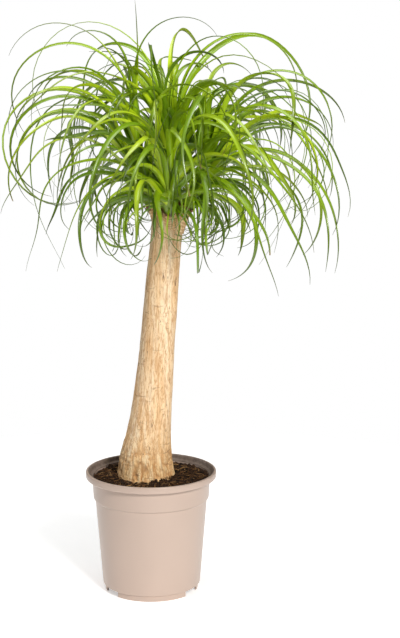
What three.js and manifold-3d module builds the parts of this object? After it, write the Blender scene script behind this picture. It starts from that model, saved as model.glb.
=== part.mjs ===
// Potted ponytail palm: pot, soil, trunk and five heads of strap leaves.
// Millimetres, +Z up, origin at the middle of the pot's underside, front of the plant at -Y.
import * as THREE from "three";
import { mergeVertices } from "three/addons/utils/BufferGeometryUtils.js";
import Module from "manifold-3d";

// ---------------------------------------------------------------- driving dimensions
const DEG = Math.PI / 180;
const TURN = 2 * Math.PI;
const GAP = 0.3; // clearance between touching pieces

const POT = {
  height: 225,
  lipRadius: 120,
  lipHeight: 12.5,
  ridgeRadius: 117,
  collarTop: 108.5,
  collarFoot: 106.3,
  collarFootZ: 175,
  bodyTop: 102.9,
  bodyFoot: 90,
  bodyFootZ: 12.5,
  footRadius: 86,
  footInner: 82,
  footHeight: 8.4,
  floorTop: 11,
  centreFoot: 24,
  wall: 2.6,
  ledgeRadius: 111.6, // inside the lip: a ledge between the collar's wall and the rim
  ledgeZ: 215.6,
  sides: 44,
};
const DRAIN = { azimuths: [-30, 90, 210], arc: 28, slotArc: 14, slotInner: 74, slotOuter: 83 };
const SOIL = { level: 212.5, lump: 2.6, mound: 5, rings: 6, sides: 44 };

// height, centre x, radius: the trunk leans to +X and flares where it enters the soil
const TRUNK = [
  [212, -9.0, 54.0],
  [224, -9.2, 52.2],
  [240, -9.2, 50.2],
  [258, -8.8, 47.6],
  [276, -7.0, 44.6],
  [296, -3.8, 41.4],
  [326, 0.2, 38.4],
  [360, 3.8, 36.0],
  [405, 7.8, 34.0],
  [450, 11.8, 32.4],
  [495, 15.9, 31.4],
  [540, 19.6, 30.8],
  [586, 23.2, 30.2],
  [632, 27.4, 29.0],
  [668, 31.0, 29.2],
  [696, 33.6, 29.8],
  [708, 34.8, 27.0],
];
const TRUNK_FOOT = 140; // height of the buried end
const TRUNK_SIDES = 24;
const ROOT_FLUTES = 1.6; // depth of the flutes at the flare

const CROWN = [36, 0, 706]; // the point that the head offsets are measured from
// offset of the head's foot, azimuth and elevation of its axis, shoot length, leaves, size of leaf
const HEADS = [
  { name: "head_centre", foot: [2, 14, 16], azimuth: 110, elevation: 84, shoot: 105, leaves: 28, size: 0.88 },
  { name: "head_left", foot: [-30, -8, 8], azimuth: 175, elevation: 68, shoot: 92, leaves: 25, size: 0.86 },
  { name: "head_right", foot: [30, -10, 8], azimuth: -5, elevation: 60, shoot: 90, leaves: 29, size: 0.9 },
  { name: "head_front", foot: [0, -32, 4], azimuth: -95, elevation: 56, shoot: 54, leaves: 28, size: 0.78 },
  { name: "head_rear", foot: [8, 36, 6], azimuth: 75, elevation: 64, shoot: 80, leaves: 25, size: 0.86 },
];
// The long leaves that set the outline: head, azimuth, rise, straight run, radius and angle of the
// arc, swing sideways, flick of the tip, place on the shoot (0 foot, 1 tip), width.
const LEADERS = [
  ["head_left", 180, 95, 256, 80, 15, 0, 0, 1.0, 8],
  ["head_left", 0, 92, 272, 38, 165, 10, 0, 0.88, 10],
  ["head_left", 180, 88, 268, 24, 150, 0, 0, 0.82, 11],
  ["head_left", 250, 92, 195, 30, 120, -30, 0, 0.94, 15],
  ["head_left", 110, 88, 205, 36, 110, 40, 0, 0.76, 14],
  ["head_left", 172, 86, 200, 96, 145, -10, 0, 0.64, 6],
  ["head_left", 188, 79, 110, 93, 240, 0, 0, 0.34, 9],
  ["head_left", 186, 88, 190, 86, 225, 0, 0, 0.58, 8],
  ["head_left", 190, 84, 130, 95, 182, -20, 0, 0.5, 11],
  ["head_left", 220, 56, 22, 84, 200, 30, 0, 0, 10],
  ["head_left", 160, 84, 165, 60, 160, 30, 0, 0.5, 12],
  ["head_centre", 0, 97, 178, 33, 180, 0, 0, 0.75, 13],
  ["head_centre", 10, 92, 190, 22, 165, 10, 0, 0.6, 12],
  ["head_centre", -5, 83, 165, 86, 205, 0, 0, 0.8, 8],
  ["head_centre", 172, 76, 165, 44, 150, -25, 0, 0.7, 15],
  ["head_centre", 190, 84, 170, 46, 165, 30, 0, 0.55, 14],
  ["head_centre", 215, 76, 110, 50, 170, 20, 0, 0.65, 15],
  ["head_centre", -20, 74, 150, 46, 165, 30, 0, 0.5, 14],
  ["head_centre", 255, 82, 90, 44, 180, -30, 0, 0.87, 15],
  ["head_right", 20, 100, 165, 34, 160, 0, 0, 0.9, 14],
  ["head_right", -60, 92, 135, 38, 150, 0, 0, 0.8, 15],
  ["head_right", 0, 84, 150, 52, 170, 0, 0, 0.7, 12],
  ["head_right", -5, 80, 150, 89, 212, 0, 0, 0.6, 8],
  ["head_right", -8, 66, 100, 112, 182, 0, 0, 0.15, 9],
  ["head_right", -30, 54, 40, 103, 188, -10, 0, 0.05, 11],
  ["head_right", -40, 50, 40, 106, 156, -10, 0, 0.1, 13],
  ["head_right", -12, 62, 60, 106, 202, -10, 0, 0, 11],
  ["head_right", -55, 45, 30, 85, 190, -20, 0, 0.2, 11],
  ["head_right", -52, 34, 50, 80, 205, 10, 0, 0.1, 11],
  ["head_right", -66, 32, 60, 116, 150, 30, 25, 0.0, 12],
  ["head_front", -112, 30, 160, 56, 180, 20, 0, 0.05, 12],
  ["head_front", 200, 38, 40, 66, 170, 30, 0, 0.1, 12],
];
const CORE = { foot: 13, tip: 10, sides: 8 };
const NECK = { root: 15, top: 12.5, sides: 9, sink: 34 };
const SEED = 7;
const SEGMENTS = 9;
const SUBSTEPS = 4; // steps of the sum along the curve in each segment
const TRIES = 40;
const NARROWER = [1, 0.97, 0.94, 0.91, 0.88, 0.85, 0.8, 0.7]; // shares of a blade's width to try
const SMALLEST_EDGES = [0.02, 0.005]; // shorter edges, left where blades cross, are closed up
const ROOT_OUT = 6; // how far a leaf's root stands out from the shoot's axis
const CLEAR = 0.8; // least gap between the leaves of two heads
const SPREAD = 324; // no leaf reaches further than this from the crown's axis
const FLICK = 150; // degrees: a leaf's tip flicks up by at most six tenths of this
const RIPPLE = 60; // degrees: the range of the ripple in a leaf's azimuth
const POINTED = 1.5; // power of the taper to a long point
const BLUNT = 6; // power of the taper of a leaf that was trimmed
const TRIMMED = 0.12; // share of the leaves that were trimmed

const DARK_GREEN = 0x3f6b12;
const COLOURS = { pot: 0xd5bbaa, soil: 0x3c2513, trunk: 0xd9b184, leaf: DARK_GREEN };

// ---------------------------------------------------------------- small helpers
const add = (a, b) => [a[0] + b[0], a[1] + b[1], a[2] + b[2]];
const sub = (a, b) => [a[0] - b[0], a[1] - b[1], a[2] - b[2]];
const mul = (a, s) => [a[0] * s, a[1] * s, a[2] * s];
const dot = (a, b) => a[0] * b[0] + a[1] * b[1] + a[2] * b[2];
const cross = (a, b) => [
  a[1] * b[2] - a[2] * b[1],
  a[2] * b[0] - a[0] * b[2],
  a[0] * b[1] - a[1] * b[0],
];
const unit = (a) => mul(a, 1 / Math.hypot(...a));
const clamp = (x, lo = 0, hi = 1) => Math.min(hi, Math.max(lo, x));
const ease = (t) => {
  const x = clamp(t);
  return x * x * (3 - 2 * x);
};
const direction = (azimuth, elevation) => [
  Math.cos(elevation) * Math.cos(azimuth),
  Math.cos(elevation) * Math.sin(azimuth),
  Math.sin(elevation),
];

// mulberry32: the same draws wherever the same seed is used
function draws(seed) {
  let state = seed >>> 0;
  return () => {
    state = (state + 0x6d2b79f5) >>> 0;
    let t = state;
    t = Math.imul(t ^ (t >>> 15), t | 1);
    t = (t ^ (t + Math.imul(t ^ (t >>> 7), t | 61))) >>> 0;
    return ((t ^ (t >>> 14)) >>> 0) / 4294967296;
  };
}

// ---------------------------------------------------------------- leaves: the rule
// Two directions square to a head's axis, for the spiral of its leaves.
function headFrame(head) {
  const axis = direction(head.azimuth * DEG, head.elevation * DEG);
  const e1 = unit(cross([0, 0, 1], axis));
  return { axis, e1, e2: cross(axis, e1) };
}

// Where a leaf leaves its head's shoot, at a place from 0 at the foot to 1 at the tip.
const rootOn = (head, axis, place) =>
  add(add(CROWN, head.foot), mul(axis, 5 + 0.94 * head.shoot * place));

// One leaf of a head: rank 0 is the youngest, at the tip of the shoot, and each next one stands
// 137.5 degrees further round, lower and further out. It rises straight, then bends over on an arc.
function drawLeaf(head, index, attempt) {
  const r = draws(SEED * 100003 + HEADS.indexOf(head) * 10007 + index * 101 + attempt);
  const { axis, e1, e2 } = headFrame(head);
  const age = (index + 0.5) / head.leaves;
  const tilt = (5 + 62 * Math.pow(age, 1.1) + (r() - 0.5) * 18) * DEG;
  const spin = index * 137.508 * DEG + (r() - 0.5) * 0.8;
  const side = add(mul(e1, Math.cos(spin)), mul(e2, Math.sin(spin)));
  const out = add(mul(axis, Math.cos(tilt)), mul(side, Math.sin(tilt)));
  const rise = Math.asin(clamp(out[2], -1, 1));
  const up = Math.max(0, Math.sin(rise));
  const straight = head.size * (32 + 140 * up * (0.5 + 0.7 * r()));
  const wide = r();
  const radius = head.size * (48 + 26 * up + 62 * up * wide * wide + 26 * r());
  const bend = rise + (75 + 95 * r()) * DEG;
  const [swing, twist, thick, lean, curl, flick, ripple, phase, cut] = Array.from({ length: 9 }, r);
  const tight = 1 - 0.5 * curl * ease((age - 0.45) / 0.4); // older leaves curl more tightly
  const length = Math.min(straight + bend * radius * tight, head.size * 820);
  return {
    rise,
    bend,
    length,
    onset: straight / length,
    azimuth: Math.atan2(out[1], out[0]),
    swing: (swing - 0.5) * 110 * DEG,
    twist: (twist - 0.5) * 190 * DEG,
    width: (9.6 + 5.4 * thick) * (1.25 - 0.35 * age),
    lean: (lean - 0.5) * 110 * DEG,
    flick: FLICK * Math.max(0, flick - 0.4) * DEG,
    ripple: (ripple - 0.5) * RIPPLE * DEG,
    phase: phase * TURN,
    point: cut < TRIMMED ? BLUNT : POINTED,
    root: add(rootOn(head, axis, Math.pow(1 - age, 0.8)), mul(side, ROOT_OUT)),
  };
}

// A leader, turned a little further aside with each new attempt.
function leader(row, number, attempt) {
  const [name, azimuth, rise, straight, radius, bend, swing, flick, place, width] = row;
  const r = draws(SEED * 7001 + number * 211 + attempt);
  const head = HEADS.find((h) => h.name === name);
  const length = straight + bend * DEG * radius;
  return {
    rise: rise * DEG,
    bend: bend * DEG,
    length,
    onset: straight / length,
    azimuth: (azimuth + (r() - 0.5) * 3 * attempt) * DEG,
    swing: (swing + (r() - 0.5) * 4 * attempt) * DEG,
    twist: (r() - 0.5) * 120 * DEG,
    width,
    lean: (r() - 0.5) * 90 * DEG,
    flick: flick * DEG,
    ripple: (r() - 0.5) * RIPPLE * DEG,
    phase: r() * TURN,
    point: width > 14 ? BLUNT : POINTED,
    root: add(rootOn(head, headFrame(head).axis, place), mul(direction(azimuth * DEG, 0), ROOT_OUT)),
  };
}

// Direction of the leaf's middle line at u, from 0 at the root to 1 at the tip: it falls past
// the straight run, its tip is flicked up, and it swings aside and ripples towards the tip.
function heading(leaf, u) {
  const half = leaf.onset * 0.5;
  const x = clamp((u - half) / (1 - half));
  const fallen = leaf.rise - leaf.bend * Math.pow(x, 1 + 0.8 * leaf.onset);
  const wave = leaf.ripple * u * Math.sin(1.3 * TURN * u + leaf.phase);
  return {
    fall: fallen + leaf.flick * ease((u - 0.6) / 0.4),
    turn: leaf.azimuth + leaf.swing * ease(u) + wave,
  };
}

// The leaf's rings from root to tip: middle, direction across, direction of its upper face,
// half width and depth of keel. The first segment covers most of the straight run.
function leafRings(leaf) {
  const first = Math.max(0.06, leaf.onset * 0.6);
  const stops = [0];
  for (let k = 0; k < SEGMENTS; k++) stops.push(first + ((1 - first) * k) / (SEGMENTS - 1));
  const rings = [];
  let at = leaf.root;
  stops.forEach((u, k) => {
    if (k)
      for (let j = 0; j < SUBSTEPS; j++) {
        const du = (u - stops[k - 1]) / SUBSTEPS;
        const way = heading(leaf, stops[k - 1] + (j + 0.5) * du);
        at = add(at, mul(direction(way.turn, way.fall), leaf.length * du));
      }
    const here = heading(leaf, u);
    const along = direction(here.turn, here.fall);
    const level = [-Math.sin(here.turn), Math.cos(here.turn), 0];
    const above = cross(along, level);
    const roll = leaf.lean * ease(u / 0.3) + leaf.twist * u * u;
    const across = add(mul(level, Math.cos(roll)), mul(above, Math.sin(roll)));
    const face = cross(along, across);
    const taper = Math.pow(clamp(1 - Math.pow(u, leaf.point)), 1.1);
    const width = leaf.width * taper * (0.4 + 0.6 * ease(u / 0.12)) + 0.9;
    rings.push({ at, across, face, half: width / 2, keel: 0.7 + 0.1 * width });
  });
  return rings;
}

// ---------------------------------------------------------------- leaves: keeping clear
// Closest points of two segments p0-p1 and q0-q1, as the vector from the first to the second.
function between(p0, p1, q0, q1) {
  const d1 = sub(p1, p0), d2 = sub(q1, q0), r = sub(p0, q0);
  const a = dot(d1, d1), e = dot(d2, d2), f = dot(d2, r), c = dot(d1, r), b = dot(d1, d2);
  const den = a * e - b * b;
  let s = den > 1e-9 ? clamp((b * f - c * e) / den) : 0;
  let t = (b * s + f) / e;
  if (t < 0) {
    t = 0;
    s = clamp(-c / a);
  } else if (t > 1) {
    t = 1;
    s = clamp((b - c) / a);
  }
  return sub(add(q0, mul(d2, t)), add(p0, mul(d1, s)));
}

// How far a segment's two rings reach from its middle line in the direction n.
const reach = (ring, n) =>
  Math.abs(dot(n, ring.across)) * ring.half + Math.abs(dot(n, ring.face)) * ring.keel;
const segmentReach = (s, n) => (s.radius !== undefined ? s.radius : Math.max(reach(s.a, n), reach(s.b, n)));

function meets(s, t, gap) {
  const v = between(s.a.at, s.b.at, t.a.at, t.b.at);
  const d = Math.hypot(...v);
  if (d > 30 && d > (s.radius || 0) + (t.radius || 0) + 30) return false;
  if (d < 1e-6) return true;
  const n = mul(v, 1 / d);
  return d < segmentReach(s, n) + segmentReach(t, n) + gap;
}

const headFoot = (head) => add(CROWN, head.foot);
const headAxis = (head) => headFrame(head).axis;
const neckRoot = (head) => {
  const foot = headFoot(head);
  const c = add(CROWN, [0, 0, -NECK.sink]);
  return add(c, mul(sub([foot[0], foot[1], c[2]], c), 0.3));
};

// Trunk, necks and shoots as round bars that the leaves keep clear of.
function bars() {
  const list = [];
  for (let i = 1; i < TRUNK.length; i++) {
    const [z0, x0, r0] = TRUNK[i - 1], [z1, x1, r1] = TRUNK[i];
    list.push({ a: { at: [x0, 0, z0] }, b: { at: [x1, 0, z1] }, radius: Math.max(r0, r1) + 1, head: null });
  }
  for (const head of HEADS) {
    const foot = headFoot(head);
    list.push({ a: { at: neckRoot(head) }, b: { at: foot }, radius: NECK.root + 1, head: null, neck: head });
    const tip = add(foot, mul(headAxis(head), head.shoot + 8));
    list.push({ a: { at: foot }, b: { at: tip }, radius: CORE.foot + 0.5, head });
  }
  return list;
}

// The leaders come first, then the other leaves in rounds, one rank of every head at a time.
// A draw that reaches past the crown's spread, or that meets another head's leaf, a bar or, for
// the first half of the tries, a leaf of its own head beyond the roots, is drawn again.
function growLeaves() {
  const obstacles = bars();
  const grown = [];
  const place = (head, draw) => {
    for (let attempt = 0; attempt < TRIES; attempt++) {
      const rings = leafRings(draw(attempt));
      if (rings.some((r) => Math.hypot(r.at[0] - CROWN[0], r.at[1]) > SPREAD)) continue;
      const segments = rings.slice(1).map((b, k) => ({ a: rings[k], b, head, k }));
      const own = attempt < TRIES / 2;
      const hit = segments.some((s) =>
        obstacles.some((o) => {
          if (o.radius !== undefined && (o.head === head || (o.neck === head && s.k === 0))) return false;
          if (o.radius === undefined && o.head === head && (!own || s.k < 2 || o.k < 2)) return false;
          return meets(s, o, CLEAR);
        }),
      );
      if (hit) continue;
      obstacles.push(...segments);
      grown.push({ head, rings });
      return;
    }
  };
  LEADERS.forEach((row, number) =>
    place(HEADS.find((h) => h.name === row[0]), (attempt) => leader(row, number, attempt)),
  );
  const most = Math.max(...HEADS.map((h) => h.leaves));
  for (let index = 0; index < most; index++)
    for (const head of HEADS)
      if (index < head.leaves) place(head, (attempt) => drawLeaf(head, index, attempt));
  return grown;
}

// ---------------------------------------------------------------- solids
const wasm = await Module();
wasm.setup();

const solidOf = (points, triangles) =>
  new wasm.Manifold(
    new wasm.Mesh({
      numProp: 3,
      vertProperties: new Float32Array(points.flat()),
      triVerts: new Uint32Array(triangles.flat()),
    }),
  );

function geometrySolid(geometry) {
  const g = geometry.clone();
  g.deleteAttribute("normal");
  g.deleteAttribute("uv");
  const merged = mergeVertices(g, 1e-4);
  return new wasm.Manifold(
    new wasm.Mesh({
      numProp: 3,
      vertProperties: new Float32Array(merged.attributes.position.array),
      triVerts: new Uint32Array(merged.index.array),
    }),
  );
}

// Rings of equal count joined to a closed skin, with a flat or pointed cap at each end.
function skin(rings) {
  const n = rings[0].length;
  const points = rings.flat();
  const triangles = [];
  for (let k = 0; k + 1 < rings.length; k++)
    for (let i = 0; i < n; i++) {
      const a = k * n + i, b = k * n + ((i + 1) % n);
      triangles.push([a, b, b + n], [a, b + n, a + n]);
    }
  const cap = (start, flip) => {
    const middle = points.length;
    const c = [0, 1, 2].map((j) => rings[start / n].reduce((s, p) => s + p[j], 0) / n);
    points.push(c);
    for (let i = 0; i < n; i++) {
      const a = start + i, b = start + ((i + 1) % n);
      triangles.push(flip ? [middle, b, a] : [middle, a, b]);
    }
  };
  cap(0, true);
  cap((rings.length - 1) * n, false);
  return solidOf(points, triangles);
}

// A leaf blade: three sides (left edge, keel, right edge), drawn to a point at the tip. All the
// faces are split along the same way round the twist, so the keel stays behind the upper face.
function bladeSolid(rings) {
  const points = [], triangles = [];
  const last = rings.length - 1;
  rings.forEach((r, k) => {
    if (k === last) return points.push(r.at);
    points.push(
      add(r.at, mul(r.across, r.half)),
      add(r.at, mul(r.across, -r.half)),
      add(r.at, mul(r.face, -r.keel)),
    );
  });
  for (let k = 0; k < last; k++)
    for (let i = 0; i < 3; i++) {
      const a = 3 * k + i, b = 3 * k + ((i + 1) % 3);
      if (k === last - 1) triangles.push([a, b, 3 * last]);
      else if (i === 0) triangles.push([a, b, b + 3], [a, b + 3, a + 3]);
      else triangles.push([a, b, a + 3], [b, b + 3, a + 3]);
    }
  triangles.push([0, 2, 1]);
  const made = solidOf(points, triangles);
  return made.volume() > 0 ? made : solidOf(points, triangles.map(([a, b, c]) => [a, c, b]));
}

// A round bar between two points, tapering, with its own number of sides.
function barSolid(from, to, r0, r1, sides, domed) {
  const axis = unit(sub(to, from));
  const e1 = unit(cross(Math.abs(axis[2]) > 0.9 ? [1, 0, 0] : [0, 0, 1], axis));
  const e2 = cross(axis, e1);
  const ring = (at, r) =>
    Array.from({ length: sides }, (_, i) => {
      const t = (TURN * i) / sides;
      return add(at, add(mul(e1, r * Math.cos(t)), mul(e2, r * Math.sin(t))));
    });
  const rings = [ring(from, r0), ring(to, r1)];
  if (domed) rings.push(ring(add(to, mul(axis, r1 * 0.7)), r1 * 0.6));
  return skin(rings);
}

// Only the largest closed skin of a fused solid: what fusing seals is filled, scraps are dropped.
function wholeBody(solid) {
  const bodies = solid.decompose().sort((a, b) => b.volume() - a.volume());
  return bodies[0];
}

function meshFrom(name, solid, colour) {
  const m = solid.getMesh();
  const positions = new Float32Array(m.numVert * 3);
  for (let i = 0; i < m.numVert; i++)
    positions.set(m.vertProperties.subarray(i * m.numProp, i * m.numProp + 3), i * 3);
  const geometry = new THREE.BufferGeometry();
  geometry.setAttribute("position", new THREE.BufferAttribute(positions, 3));
  geometry.setIndex(new THREE.BufferAttribute(m.triVerts, 1));
  geometry.computeVertexNormals();
  const mesh = new THREE.Mesh(geometry, new THREE.MeshStandardMaterial({ color: colour }));
  mesh.name = name;
  return mesh;
}

// ---------------------------------------------------------------- pot
// Inner radius of the pot's wall at a height, used for the pot and for the soil.
function innerWall(z) {
  const low = POT.bodyFoot - POT.wall, high = POT.bodyTop - POT.wall;
  if (z < POT.collarFootZ - 4) {
    const t = clamp((z - POT.bodyFootZ) / (POT.collarFootZ - 4 - POT.bodyFootZ));
    return low + (high - low) * t;
  }
  const foot = POT.collarFoot - POT.wall, top = POT.collarTop - POT.wall;
  if (z < POT.collarFootZ + 1) return high + ((foot - high) * (z - POT.collarFootZ + 4)) / 5;
  const collar = POT.height - POT.lipHeight - POT.collarFootZ - 1;
  return foot + ((top - foot) * (z - POT.collarFootZ - 1)) / collar;
}

function buildPot() {
  const H = POT.height, lip = H - POT.lipHeight, R = POT.lipRadius;
  const profile = [
    [0, 0],
    [POT.centreFoot, 0],
    [POT.centreFoot - 1, POT.footHeight],
    [POT.footInner, POT.footHeight],
    [POT.footInner + 0.6, 0],
    [POT.footRadius - 0.6, 0],
    [POT.footRadius, 0.8],
    [POT.footRadius, 10.8],
    [POT.bodyFoot - 1.6, 10.8],
    [POT.bodyFoot, POT.bodyFootZ],
    [POT.bodyTop, POT.collarFootZ - 3],
    [POT.collarFoot - 0.6, POT.collarFootZ - 0.5],
    [POT.collarFoot, POT.collarFootZ + 1],
    [POT.collarTop, lip + 0.6],
    [R - 1.6, lip - 0.6],
    [R, lip + 1.4],
    [R, H - 5.2],
    [R - 0.9, H - 3.2],
    [POT.ridgeRadius + 1.6, H - 0.6],
    [POT.ridgeRadius, H],
    [POT.ridgeRadius - 2.4, H - 0.6],
    [POT.ridgeRadius - 3.8, H - 3],
    [POT.ledgeRadius, POT.ledgeZ + 1.4],
    [innerWall(lip) + 0.4, POT.ledgeZ],
    [innerWall(lip), lip],
    [innerWall(POT.collarFootZ + 1), POT.collarFootZ + 1],
    [innerWall(POT.collarFootZ - 4), POT.collarFootZ - 4],
    [innerWall(POT.bodyFootZ + 4), POT.bodyFootZ + 4],
    [innerWall(POT.bodyFootZ) - 5, POT.floorTop],
    [0, POT.floorTop],
  ];
  const lathe = new THREE.LatheGeometry(
    profile.map(([r, z]) => new THREE.Vector2(r, z)),
    POT.sides,
  );
  lathe.rotateX(Math.PI / 2);
  let pot = geometrySolid(lathe);
  for (const azimuth of DRAIN.azimuths) {
    const notch = sector(azimuth, DRAIN.arc, POT.footInner - 3, POT.footRadius + 3, -1, POT.footHeight);
    const slot = sector(azimuth, DRAIN.slotArc, DRAIN.slotInner, DRAIN.slotOuter, -1, POT.floorTop + 1);
    pot = pot.subtract(notch).subtract(slot);
  }
  return pot;
}

// A wedge of a ring round the axis, between two radii and two heights.
function sector(azimuth, arc, r0, r1, z0, z1) {
  const steps = 4;
  const outline = [];
  for (let i = 0; i <= steps; i++) {
    const t = (azimuth + arc * (i / steps - 0.5)) * DEG;
    outline.push([r0 * Math.cos(t), r0 * Math.sin(t), r1 * Math.cos(t), r1 * Math.sin(t)]);
  }
  return skin(
    outline.map(([x0, y0, x1, y1]) => [
      [x0, y0, z0],
      [x1, y1, z0],
      [x1, y1, z1],
      [x0, y0, z1],
    ]).reverse(),
  );
}

// ---------------------------------------------------------------- soil
// Height of the soil: lumps of several sizes and two low mounds, at the trunk's right front and left.
function soilHeight(x, y) {
  const lumps =
    Math.sin(x * 0.11 + 1.3) * Math.cos(y * 0.13 - 0.4) +
    0.7 * Math.sin(x * 0.23 - y * 0.19 + 2.1) +
    0.5 * Math.cos(x * 0.31 + y * 0.27);
  const right = Math.exp(-((x - 38) ** 2 + (y + 42) ** 2) / 1800);
  const left = Math.exp(-((x + 64) ** 2 + (y + 10) ** 2) / 900);
  return SOIL.level + SOIL.lump * lumps * 0.6 + SOIL.mound * (right + left);
}

function buildSoil() {
  const sides = SOIL.sides;
  const rim = innerWall(SOIL.level) - GAP - 0.6;
  const ring = (r, z) =>
    Array.from({ length: sides }, (_, i) => {
      const t = (TURN * i) / sides;
      const x = r * Math.cos(t), y = r * Math.sin(t);
      return [x, y, z === undefined ? soilHeight(x, y) : z];
    });
  const rings = [];
  const wallRing = (z) => ring(innerWall(z) - GAP - 0.6, z);
  rings.push(ring(innerWall(POT.bodyFootZ) - 6.5, POT.floorTop + GAP));
  rings.push(wallRing(POT.bodyFootZ + 5));
  rings.push(wallRing(POT.collarFootZ - 5));
  rings.push(ring(innerWall(POT.collarFootZ + 2) - GAP - 0.6, POT.collarFootZ + 3));
  rings.push(ring(rim));
  for (let k = 1; k < SOIL.rings; k++) rings.push(ring(rim - (rim - 40) * (k / SOIL.rings)));
  const hole = barSolid(
    [TRUNK[0][1], 0, TRUNK_FOOT - GAP],
    [TRUNK[0][1], 0, SOIL.level + 40],
    TRUNK[0][2] + GAP,
    TRUNK[0][2] + GAP,
    TRUNK_SIDES,
  );
  return skin(rings).subtract(hole);
}

// ---------------------------------------------------------------- trunk
function buildTrunk() {
  const ring = (z, x, r, flutes) =>
    Array.from({ length: TRUNK_SIDES }, (_, i) => {
      const t = (TURN * i) / TRUNK_SIDES;
      const rr = r - flutes * (0.5 + 0.5 * Math.cos(5 * t + 0.8) * Math.cos(2 * t - 0.5));
      return [x + rr * Math.cos(t), rr * Math.sin(t), z];
    });
  const [, x0, r0] = TRUNK[0];
  const rings = [ring(TRUNK_FOOT, x0, r0, 0)];
  TRUNK.forEach(([z, x, r], i) => rings.push(ring(z, x, r, i ? ROOT_FLUTES * Math.max(0.25, 1 - i / 9) : 0)));
  // each neck ends in a flat seat, square to its head's axis
  const necks = HEADS.map((head) => {
    const from = neckRoot(head), to = headFoot(head), axis = headAxis(head);
    const end = add(to, mul(unit(sub(to, from)), 12));
    const neck = barSolid(from, end, NECK.root, NECK.top, NECK.sides);
    return neck.subtract(barSolid(to, add(to, mul(axis, 40)), 40, 40, 4));
  });
  let trunk = wasm.Manifold.union([skin(rings), ...necks]);
  for (const head of HEADS) {
    const to = headFoot(head);
    trunk = trunk.subtract(barSolid(to, add(to, mul(headAxis(head), 30)), 16, 16, 8));
  }
  return trunk;
}

// ---------------------------------------------------------------- heads
// Edges that don't join exactly two faces once the corners are rounded to a thousandth.
function pinches(solid) {
  const m = solid.getMesh();
  const corner = Array.from({ length: m.numVert }, (_, i) => {
    const at = m.vertProperties.subarray(i * m.numProp, i * m.numProp + 3);
    return Array.from(at, (v) => v.toFixed(3)).join();
  });
  const faces = new Map();
  m.triVerts.forEach((a, t) => {
    const b = m.triVerts[t % 3 === 2 ? t - 2 : t + 1];
    const edge = [corner[a], corner[b]].sort().join(" ");
    faces.set(edge, (faces.get(edge) || 0) + 1);
  });
  return [...faces.values()].filter((n) => n !== 2).length;
}

// The leaf's rings with the blade a little narrower.
const narrowed = (rings, share) => rings.map((r) => ({ ...r, half: r.half * share }));

// The shoot's core with its blades fused on one by one. Where crossing blades would leave a
// pinched edge, the new blade is made a little narrower.
function buildHead(head, leaves) {
  const axis = headAxis(head);
  const foot = add(headFoot(head), mul(axis, GAP));
  let solid = barSolid(foot, add(foot, mul(axis, head.shoot)), CORE.foot, CORE.tip, CORE.sides, true);
  const ways = NARROWER.flatMap((share) => SMALLEST_EDGES.map((edge) => ({ share, edge })));
  for (const leaf of leaves) {
    const fused = ({ share, edge }) => solid.add(bladeSolid(narrowed(leaf.rings, share))).simplify(edge);
    solid = fused(ways.find((way) => !pinches(fused(way))) || ways[0]);
  }
  return wholeBody(solid);
}

const leaves = growLeaves();
const root = new THREE.Group();
root.name = "ponytail_palm";
root.add(meshFrom("pot", buildPot(), COLOURS.pot));
root.add(meshFrom("soil", buildSoil(), COLOURS.soil));
root.add(meshFrom("trunk", buildTrunk(), COLOURS.trunk));
for (const head of HEADS)
  root.add(meshFrom(head.name, buildHead(head, leaves.filter((l) => l.head === head)), COLOURS.leaf));

export default root;
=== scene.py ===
"""Potted ponytail palm: bark, leaves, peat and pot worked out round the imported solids."""

import math
from itertools import combinations
from types import SimpleNamespace as Sizes

import bpy
import numpy as np
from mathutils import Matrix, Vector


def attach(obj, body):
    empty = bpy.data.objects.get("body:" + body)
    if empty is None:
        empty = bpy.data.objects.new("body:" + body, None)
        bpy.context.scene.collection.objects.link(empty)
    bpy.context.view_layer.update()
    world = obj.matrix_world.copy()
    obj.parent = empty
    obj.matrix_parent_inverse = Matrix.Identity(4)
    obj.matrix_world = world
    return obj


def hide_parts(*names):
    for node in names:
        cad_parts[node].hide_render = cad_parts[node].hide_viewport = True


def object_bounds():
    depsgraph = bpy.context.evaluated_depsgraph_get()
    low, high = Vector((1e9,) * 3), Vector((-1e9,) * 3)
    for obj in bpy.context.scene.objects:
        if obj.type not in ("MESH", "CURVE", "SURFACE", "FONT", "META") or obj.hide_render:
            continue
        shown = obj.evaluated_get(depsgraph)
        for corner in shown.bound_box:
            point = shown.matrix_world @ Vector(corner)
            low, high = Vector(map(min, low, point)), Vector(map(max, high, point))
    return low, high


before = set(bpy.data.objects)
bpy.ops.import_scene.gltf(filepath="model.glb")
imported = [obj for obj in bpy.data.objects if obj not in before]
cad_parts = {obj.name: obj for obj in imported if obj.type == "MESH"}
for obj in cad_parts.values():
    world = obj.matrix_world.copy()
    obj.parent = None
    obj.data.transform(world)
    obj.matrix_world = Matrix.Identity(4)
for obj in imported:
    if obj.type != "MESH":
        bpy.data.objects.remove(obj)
cad_low, cad_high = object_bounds()
scene = bpy.context.scene

MM = 0.001
TURN = 2 * math.pi
DEG = math.pi / 180

# ---------- camera, light, floor
CAMERA = Sizes(place=(0.0, -3.0, 1.078), down=10.78, right=1.72, lens=95.13)
AMBIENT = 0.12  # the room as a light; to the eye it is white
FLOOR_RADIUS = 1.15  # metres


def placed(name, data):
    """A new object of the scene."""
    thing = bpy.data.objects.new(name, data)
    scene.collection.objects.link(thing)
    return thing


camera = placed("camera", bpy.data.cameras.new("camera"))
camera.data.lens = CAMERA.lens
camera.location = CAMERA.place
camera.rotation_euler = (math.radians(90 - CAMERA.down), 0, math.radians(-CAMERA.right))
scene.camera = camera
scene.view_settings.view_transform = "Standard"


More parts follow.
